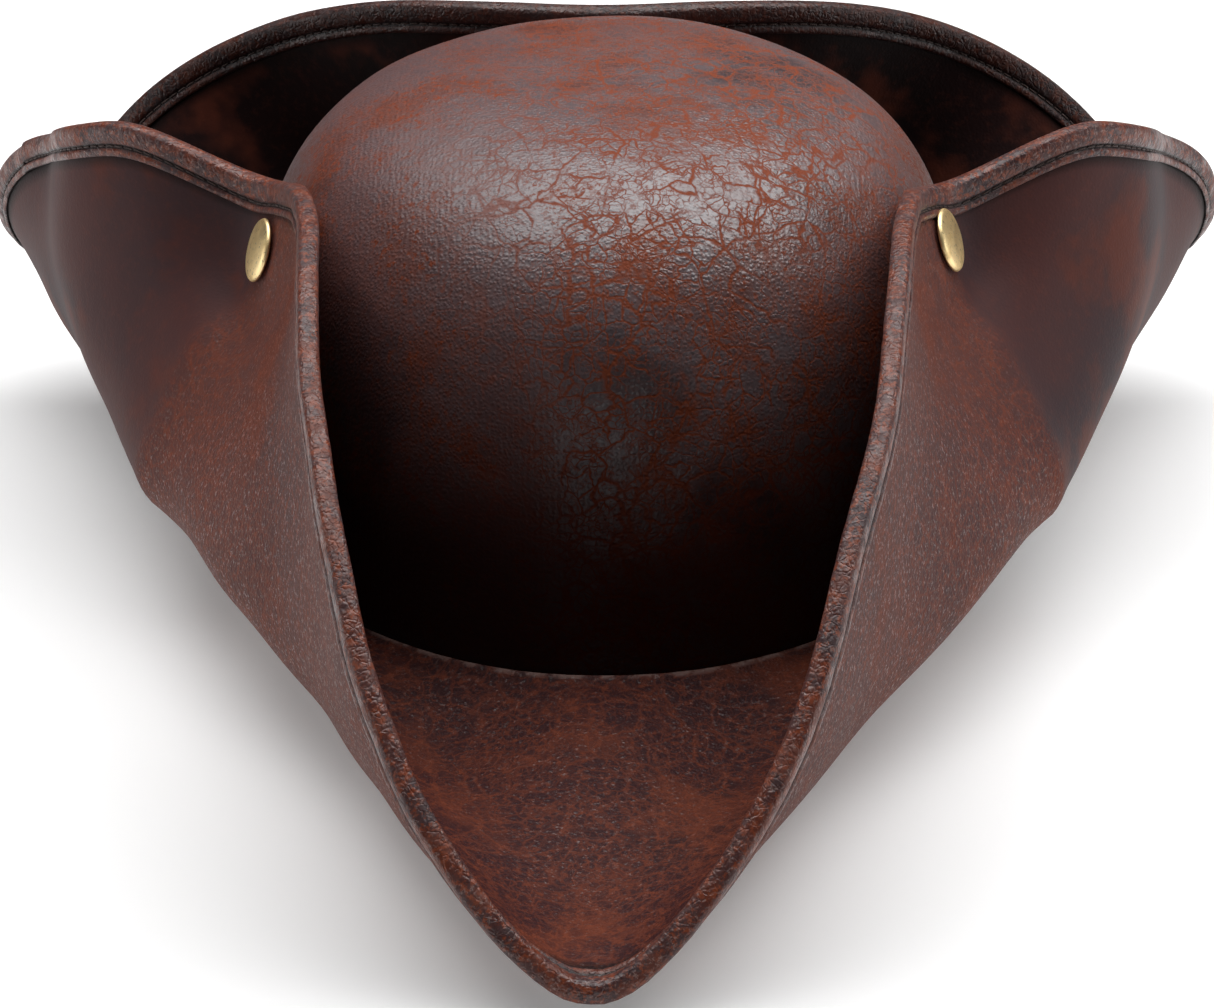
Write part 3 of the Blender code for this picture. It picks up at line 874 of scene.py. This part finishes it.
RUST = (0.200, 0.046, 0.019)
DEEP_RUST = (0.115, 0.027, 0.014)
PLUM = (0.070, 0.027, 0.025)
RED_PLUM = (0.095, 0.036, 0.030)
CROWN_PLUM = (0.088, 0.041, 0.040)
SLATE = (0.036, 0.022, 0.025)
MAROON = (0.037, 0.011, 0.012)
# Painted shade: the upper cover's tone behind the side flaps' creases, round the back flap.
BEHIND_CREASE_PAINTED_SHADE = (0.014, 0.005, 0.005)
WORN_GREY_AND_HIGHLIGHT = (0.26, 0.17, 0.15)
TAN = (0.30, 0.185, 0.115)
LIGHT_TAN = (0.38, 0.25, 0.165)
PORE_BROWN = (0.16, 0.09, 0.055)
LINING_BLACK = (0.022, 0.019, 0.018)
LINING_SHADE = (0.008, 0.007, 0.007)
LABEL_CREAM = (0.70, 0.65, 0.53)
LABEL_SHADE = (0.50, 0.45, 0.36)
THREAD_BROWN = (0.060, 0.030, 0.024)
THREAD_SHADE = (0.022, 0.012, 0.010)
THREAD_TAN = (0.46, 0.34, 0.22)
THREAD_TAN_SHADE = (0.27, 0.18, 0.11)
FELT_DARK = (0.15, 0.125, 0.10)
FELT_LIGHT = (0.24, 0.205, 0.17)
BRASS = (0.95, 0.73, 0.38)
TARNISH = (0.68, 0.49, 0.23)
TARNISH_SPECK = (0.10, 0.065, 0.035)
STEEL_DARK = (0.36, 0.36, 0.35)
STEEL_LIGHT = (0.52, 0.52, 0.50)
REED_DARK = (0.50, 0.48, 0.42)
REED_LIGHT = (0.60, 0.58, 0.53)
WHITE = (1.0, 1.0, 1.0)
PAINT_DARK = (0.84, 0.84, 0.84)
PAINT_LIGHT = (0.86, 0.86, 0.86)
BLUE_GREY = (0.110, 0.086, 0.092)
# Near black for painted shade at the crown's foot, under the binding's lip, in the binding's groove and
# round the back flap, and for the upper cover's dark patches.
DARK_PATCH_AND_PAINTED_SHADE = (0.008, 0.004, 0.004)


def cracks_at(g, scale, width, bent):
    """Cracks between cells, from 0 off them to 1 on them; width is a share of a cell."""
    return g.band(g.cells(bent, scale, "DISTANCE_TO_EDGE"), 0.0, width, 1.0, 0.0)


def crackle(g):
    """Cracks in the leather's coating: wide ones round large cells and hair cracks in them."""
    bent = g.warped(g.place, 60.0, 0.008)
    bent = g.warped(bent, 300.0, 0.0030)
    broken = g.band(g.noise(g.place, 95.0, 3.0), 0.34, 0.52)
    large = g.times(cracks_at(g, 105.0, 0.07, bent), broken)
    middle = g.times(cracks_at(g, 215.0, 0.085, bent), g.band(g.noise(g.place, 70.0), 0.38, 0.54))
    sparse = g.band(g.noise(g.place, 130.0), 0.36, 0.60, 0.1, 0.8)
    fine = g.times(cracks_at(g, 480.0, 0.12, bent), sparse)
    return g.calc("MAXIMUM", g.calc("MAXIMUM", large, middle), fine)


def pebble(g, scale=1150.0):
    """Fine leather grain, from 0 in its furrows to 1 on its tops."""
    grains = g.cells(g.warped(g.place, 700.0, 0.0006), scale, "F1")
    return g.band(grains, 0.0, 0.75, 1.0, 0.0)


def crown_leather():
    """Glossy grey flakes over rust, cracked most towards the right; painted shade makes it darker and less
    glossy near the brim, and a painted sheen makes it glossier towards +X.
    """
    g = Graph("crown leather")
    across = g.add("ShaderNodeSeparateXYZ", {"Vector": g.place})
    side = g.band(across.outputs["X"], -0.055, 0.015)
    patches = g.noise(g.warped(g.place, 20.0, 0.03), 17.0, 3.0)
    flakes = g.times(g.band(patches, 0.34, 0.54), g.band(side, 0.0, 1.0, 0.35, 1.0))
    colour = g.mix(flakes, CROWN_PLUM, BLUE_GREY)
    grime = g.noise(g.warped(g.place, 14.0, 0.03), 22.0, 3.0)
    colour = g.mix(g.band(grime, 0.52, 0.66, 0.0, 0.8), colour, SLATE)
    blotches = g.noise(g.place, 30.0, 5.0, 0.62)
    colour = g.mix(g.band(blotches, 0.50, 0.68, 0.0, 0.8), colour, DEEP_RUST)
    zone = g.band(g.noise(g.place, 19.0, 3.0), 0.30, 0.50, 0.3, 1.0)
    cracks = g.times(g.times(crackle(g), zone), g.band(side, 0.0, 1.0, 0.3, 1.0))
    speckle = g.band(g.noise(g.place, 620.0, 4.0, 0.72), 0.50, 0.62)
    rusty = g.times(speckle, g.band(blotches, 0.40, 0.62, 0.2, 0.9))
    worn = g.calc("MAXIMUM", cracks, rusty)
    colour = g.mix(worn, colour, RUST)
    # Painted shade: the crown turns darker and less glossy towards its foot, next to the brim.
    clear_of_painted_shade = g.band(across.outputs["Z"], 0.012, 0.075)
    colour = g.mix(g.band(clear_of_painted_shade, 0.0, 1.0, 0.75, 0.0), colour, DARK_PATCH_AND_PAINTED_SHADE)
    gloss = g.times(g.band(worn, 0.0, 0.8, 1.0, 0.1), g.band(clear_of_painted_shade, 0.0, 1.0, 0.15, 1.0))
    # Painted sheen: the specular level rises towards +X, the side where the highlight falls.
    gloss = g.times(gloss, g.band(across.outputs["X"], -0.05, 0.05, 0.45, 1.1))
    g.plug(g.shader.inputs["Specular IOR Level"], gloss)
    roughness = g.calc("ADD", g.band(flakes, 0.0, 1.0, 0.44, 0.30), g.times(worn, 0.34))
    ribs = g.wave(g.place, 230.0, 1.2, "X")
    wrinkles = g.noise(g.stretched((1.0, 1.0, 1.9)), 520.0, 3.0, 0.62)
    height = g.layers((pebble(g), 0.00009), (cracks, -0.00005), (ribs, 0.000025), (wrinkles, 0.00007),
                      (g.noise(g.place, 110.0, 2.0), 0.0004))
    return g.finish(colour, roughness, height)


def brim_leather(name, dark, light, front_tone, gloss):
    """Softly patched leather; painted shade makes it darker behind the creases, with more dark patches
    there, and the front parts are redder, with coarser grain than behind.
    """
    g = Graph(name)
    front = g.mark("front")
    patches = g.noise(g.warped(g.place, 16.0, 0.04), 13.0, 3.0)
    # Painted shade: the tone behind the creases is darker than in front, and dark patches grow there.
    tone = g.mix(front, light, front_tone)
    darker = g.times(g.band(patches, 0.42, 0.62), g.band(front, 0.0, 1.0, 0.9, 0.45))
    colour = g.mix(darker, tone, dark)
    blotches = g.noise(g.place, 26.0, 4.0, 0.58)
    spots = g.times(g.band(blotches, 0.50, 0.66), g.band(front, 0.0, 1.0, 0.7, 0.8))
    colour = g.mix(spots, colour, DEEP_RUST)
    speckle = g.band(g.noise(g.place, 420.0, 4.0, 0.72), 0.50, 0.66)
    colour = g.mix(g.times(speckle, g.band(front, 0.0, 1.0, 0.08, 0.5)), colour, RUST)
    cracks = g.times(g.times(crackle(g), 0.4), front)
    colour = g.mix(cracks, colour, RUST)
    # A broken lighter grey line along the seam's turned edge: wear, and a painted highlight.
    seam = g.times(g.mark("seam"), g.band(g.noise(g.place, 260.0, 3.0), 0.42, 0.58, 0.1, 0.8))
    colour = g.mix(seam, colour, WORN_GREY_AND_HIGHLIGHT)
    # Painted shadow under the binding's lip.
    colour = g.mix(g.mark("lip_painted_shade"), colour, DARK_PATCH_AND_PAINTED_SHADE)
    height = g.layers((pebble(g), g.band(front, 0.0, 1.0, 0.00004, 0.00013)),
                      (g.noise(g.place, 340.0, 3.0), g.band(front, 0.0, 1.0, 0.00008, 0.00018)),
                      (cracks, -0.0001))
    sparkle = g.times(g.band(g.noise(g.place, 900.0, 4.0, 0.75), 0.52, 0.66), front)
    roughness = g.band(sparkle, 0.0, 1.0, 0.60, 0.34)
    g.plug(g.shader.inputs["Specular IOR Level"],
           g.times(g.band(sparkle, 0.0, 1.0, 0.4, 1.5), gloss))
    return g.finish(colour, roughness, height)


def binding_leather():
    g = Graph("binding leather")
    wear_and_hollow_shade = g.mark("wear_and_hollow_shade")
    patches = g.noise(g.place, 60.0, 4.0, 0.6)
    colour = g.mix(g.band(patches, 0.44, 0.62, 0.0, 0.7), PLUM, SLATE)
    blotches = g.noise(g.place, 110.0, 5.0, 0.65)
    colour = g.mix(g.band(blotches, 0.46, 0.60, 0.0, 0.85), colour, DEEP_RUST)
    speckle = g.band(g.noise(g.place, 620.0, 4.0, 0.75), 0.48, 0.62)
    rubbed = g.times(g.times(wear_and_hollow_shade, wear_and_hollow_shade), speckle)
    colour = g.mix(rubbed, colour, RUST)
    scuffs = g.times(wear_and_hollow_shade, g.band(g.noise(g.place, 900.0, 3.0, 0.7), 0.56, 0.66, 0.0, 0.6))
    colour = g.mix(scuffs, colour, WORN_GREY_AND_HIGHLIGHT)
    # Painted shade in the binding's groove and along its low inner edges.
    colour = g.mix(g.band(wear_and_hollow_shade, 0.0, 0.35, 0.85, 0.0), colour, DARK_PATCH_AND_PAINTED_SHADE)
    # Painted shade round the back flap.
    colour = g.mix(g.mark("back"), colour, DARK_PATCH_AND_PAINTED_SHADE)
    creases = g.cells(g.warped(g.place, 260.0, 0.003), 520.0, "DISTANCE_TO_EDGE")
    furrows = g.band(creases, 0.0, 0.16, 1.0, 0.0)
    height = g.layers((pebble(g, 1000.0), 0.00010), (furrows, -0.00008),
                      (g.noise(g.place, 420.0, 3.0), 0.00018))
    roughness = g.band(g.noise(g.place, 240.0, 3.0), 0.40, 0.60, 0.34, 0.58)
    g.shader.inputs["Specular IOR Level"].default_value = 0.4
    return g.finish(colour, roughness, height)


def smooth_leather():
    g = Graph("sweatband leather")
    colour = g.mix(g.band(g.noise(g.place, 40.0, 4.0), 0.35, 0.7), TAN, LIGHT_TAN)
    pores = g.band(g.cells(g.place, 900.0, "F1"), 0.0, 0.28, 1.0, 0.0)
    colour = g.mix(g.times(pores, 0.35), colour, PORE_BROWN)
    height = g.layers((g.noise(g.place, 600.0, 3.0), 0.00008), (pores, -0.00006))
    return g.finish(colour, g.band(g.noise(g.place, 90.0), 0.3, 0.7, 0.5, 0.62), height)


def woven(name, light, dark, threads, roughness, lift):
    """Plain weave; threads is how many there are to a metre."""
    g = Graph(name)
    place = g.add("ShaderNodeUVMap", uv_map="millimetres").outputs["UV"]
    warp, weft = [g.wave(place, threads / 6.283, 0.4, way) for way in "XY"]
    weave = g.times(g.calc("ADD", warp, weft), 0.5)
    uneven = g.noise(g.place, 70.0, 3.0)
    colour = g.mix(g.times(weave, g.band(uneven, 0.3, 0.7, 0.7, 1.0)), dark, light)
    g.shader.inputs["Sheen Weight"].default_value = 0.25
    g.shader.inputs["Sheen Roughness"].default_value = 0.4
    return g.finish(colour, g.band(uneven, 0.3, 0.7, roughness - 0.06, roughness + 0.06),
                    g.times(weave, lift))


def felt():
    g = Graph("stiffening felt")
    fibres = g.noise(g.warped(g.place, 500.0, 0.002), 900.0, 5.0, 0.7)
    colour = g.mix(g.band(fibres, 0.35, 0.65), FELT_DARK, FELT_LIGHT)
    return g.finish(colour, g.band(fibres, 0.3, 0.7, 0.85, 0.98), g.times(fibres, 0.0002))


def thread(name, light, dark):
    g = Graph(name)
    twist = g.wave(g.place, 900.0, 1.0, "DIAGONAL")
    return g.finish(g.mix(twist, dark, light), g.band(twist, 0.0, 1.0, 0.7, 0.5),
                    g.times(twist, 0.00005))


def antique_brass():
    g = Graph("antique brass")
    tarnish = g.noise(g.warped(g.place, 120.0, 0.004), 210.0, 5.0, 0.6)
    colour = g.mix(g.band(tarnish, 0.44, 0.70), BRASS, TARNISH)
    specks = g.band(g.noise(g.place, 1500.0, 2.0), 0.60, 0.70)
    colour = g.mix(g.times(specks, 0.6), colour, TARNISH_SPECK)
    scratches = g.noise(g.stretched((1.0, 1.0, 9.0)), 700.0, 3.0)
    height = g.layers((scratches, 0.000012), (specks, -0.00003))
    g.shader.inputs["Metallic"].default_value = 1.0
    return g.finish(colour, g.band(tarnish, 0.35, 0.7, 0.38, 0.52), height)


def streaky(name, scale, dark, light, roughness, lift):
    """A plain material whose colour and roughness drift a little."""
    g = Graph(name)
    streaks = g.noise(g.place, scale, 3.0)
    return g.finish(g.mix(streaks, dark, light), g.band(streaks, 0.3, 0.7, *roughness),
                    g.times(streaks, lift))


def spring_steel():
    steel = streaky("spring wire steel", 800.0, STEEL_DARK, STEEL_LIGHT, (0.32, 0.45), 0.00001)
    steel.node_tree.nodes["Principled BSDF"].inputs["Metallic"].default_value = 1.0
    return steel


def reed_plastic():
    return streaky("reed plastic", 200.0, REED_DARK, REED_LIGHT, (0.42, 0.55), 0.00002)


def pale_paint(name, cloud_scale, glow):
    """Matt pale paint that gives off a little light of its own."""
    g = Graph(name)
    cloud = g.noise(g.place, cloud_scale, 2.0)
    colour = g.mix(g.band(cloud, 0.3, 0.7), PAINT_DARK, PAINT_LIGHT)
    g.plug(g.shader.inputs["Emission Color"], WHITE)
    g.shader.inputs["Emission Strength"].default_value = glow
    return g.finish(colour, g.band(cloud, 0.3, 0.7, 0.8, 0.86), g.times(cloud, 0.00002))


# ---- stage, lights and camera

CAMERA_PLACE = (0.00025, -0.8889, 0.3941)
CAMERA_TILT = 66.0
CAMERA_LENS = 113.2

# Area lights as (name, place, aim, width, depth, watts).
SIDE_BOX = (0.8, 0.28, 1.9)
LIGHTS = (
    ("overhead softbox", (0.15, 0.23, 0.95), (0.15, 0.23, 0.0), 1.7, 0.95, 22.0),
    ("left softbox", (-1.05, -0.1, 0.16), (0.0, 0.0, 0.05), *SIDE_BOX),
    ("right softbox", (1.05, -0.1, 0.16), (0.0, 0.0, 0.05), *SIDE_BOX),
)
WORLD_STRENGTH = 0.01
FLOOR_GLOW = 0.2
BACKDROP_GLOW = 0.75
FLOOR_RADIUS = 1.3
FLOOR_DROP = 0.0012
DISC_SIDES = 96


def disc(name, profile, lowest, material):
    """A round sheet about the hat's axis from (radius, height) pairs in metres."""
    angles = np.linspace(0.0, 2.0 * math.pi, DISC_SIDES, endpoint=False)
    rings = [np.column_stack([r * np.cos(angles), r * np.sin(angles), np.full(DISC_SIDES, z + lowest)])
             for r, z in profile]
    faces = strips(len(profile), DISC_SIDES, wrap=False).reshape(-1, 4).tolist()
    item = new_object(name, np.vstack(rings) / MM, faces, material)
    return item


def stage(lowest):
    """A pale floor, and a backdrop that carries it on far behind the hat and casts no light."""
    steps = np.linspace(0.0, math.pi / 2, 16)
    disc("floor", [(0.001, 0.0), (0.6, 0.0), (FLOOR_RADIUS, 0.0)], lowest,
         pale_paint("pale floor", 3.0, FLOOR_GLOW))
    curve = [(2.2 + math.sin(a), 1.0 - math.cos(a)) for a in steps]
    backdrop = disc("backdrop", [(FLOOR_RADIUS, 0.0)] + curve + [(3.2, 3.0)], lowest,
                    pale_paint("pale backdrop", 1.5, BACKDROP_GLOW))
    backdrop.visible_diffuse = False
    backdrop.visible_glossy = False


def aim(item, place, target):
    item.location = place
    item.rotation_euler = (Vector(target) - Vector(place)).to_track_quat("-Z", "Y").to_euler()


def light_up():
    for name, place, target, width, depth, watts in LIGHTS:
        data = bpy.data.lights.new(name, "AREA")
        data.shape = "RECTANGLE"
        data.size = width
        data.size_y = depth
        data.energy = watts
        item = bpy.data.objects.new(name, data)
        bpy.context.scene.collection.objects.link(item)
        aim(item, place, target)
    world = bpy.data.worlds.new("studio")
    world.use_nodes = True
    background = world.node_tree.nodes["Background"]
    background.inputs["Color"].default_value = (*WHITE, 1.0)
    background.inputs["Strength"].default_value = WORLD_STRENGTH
    bpy.context.scene.world = world


def place_camera():
    data = bpy.data.cameras.new("camera")
    data.lens = CAMERA_LENS
    data.sensor_width = 36.0
    data.sensor_fit = "HORIZONTAL"
    item = bpy.data.objects.new("camera", data)
    item.location = CAMERA_PLACE
    item.rotation_euler = (math.radians(CAMERA_TILT), 0.0, 0.0)
    bpy.context.scene.collection.objects.link(item)
    bpy.context.scene.camera = item


# ---- the hat


def build_hat():
    crown = crown_leather()
    # The upper cover's tone behind the creases is painted shade.
    upper = brim_leather("brim upper leather", DARK_PATCH_AND_PAINTED_SHADE, BEHIND_CREASE_PAINTED_SHADE, MAROON, 0.30)
    under = brim_leather("brim under leather", SLATE, PLUM, RED_PLUM, 0.26)
    binding = binding_leather()
    band = smooth_leather()
    lining = woven("lining cloth", LINING_BLACK, LINING_SHADE, 2600.0, 0.5, 0.00006)
    label = woven("label cloth", LABEL_CREAM, LABEL_SHADE, 1900.0, 0.8, 0.0001)
    dark_thread = thread("binding thread", THREAD_BROWN, THREAD_SHADE)
    pale_thread = thread("sweatband thread", THREAD_TAN, THREAD_TAN_SHADE)
    brass = antique_brass()
    fibre = felt()

    shown(dome_shell("crown", SHELL_DEPTHS, CROWN_FOOT, crown), "crown_leather", "crown_shell")
    shown(dome_shell("interlining", INTERLINING_DEPTHS, INTERLINING_FOOT, fibre), "stiffening",
          "crown_interlining")
    shown(lining_side(lining), "lining_cloth", "lining_side")
    shown(lining_tip(lining), "lining_cloth", "lining_tip")
    shown(lining_cord(lining), "lining_cloth")
    shown(sweatband(band), "sweatband_leather", "sweatband")
    shown(band_stitches(pale_thread), None)
    shown(sweatband_reed(reed_plastic()), "reed_plastic", "sweatband_reed")
    shown(size_label(label), "label_cloth", "size_label")
    shown(brim_ply("upper_cover", UPPER_PLY, 1.0, (0.0, 0.7), upper), "brim_upper_leather",
          "brim_upper_cover")
    shown(brim_ply("stiffener", STIFFENER, STIFFENER_EDGE, (0.0, 0.0), fibre), "stiffening",
          "brim_stiffener")
    shown(brim_ply("under_cover", UNDER_PLY, 1.0, (0.7, 0.0), under), "brim_under_leather",
          "brim_under_cover")
    shown(edge_binding(binding), "binding_leather", "edge_binding")
    shown(binding_stitches(dark_thread), None)
    shown(brim_wire(spring_steel()), "wire_steel", "brim_wire")
    for name in RIVETS:
        shown(rivet_cap(name, brass), "antique_brass", f"rivet_cap_{name}")
        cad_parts[f"rivet_burr_{name}"].material_slots[0].material = brass


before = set(bpy.data.objects)
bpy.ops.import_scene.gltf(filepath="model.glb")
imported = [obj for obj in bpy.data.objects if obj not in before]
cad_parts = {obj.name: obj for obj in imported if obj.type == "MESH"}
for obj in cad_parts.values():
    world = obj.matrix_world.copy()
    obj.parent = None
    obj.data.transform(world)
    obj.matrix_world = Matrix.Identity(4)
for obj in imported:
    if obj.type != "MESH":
        bpy.data.objects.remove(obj)
cad_low, cad_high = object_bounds()
build_hat()
stage(cad_low[2] - FLOOR_DROP)
light_up()
place_camera()
bpy.context.scene.view_settings.view_transform = "Standard"
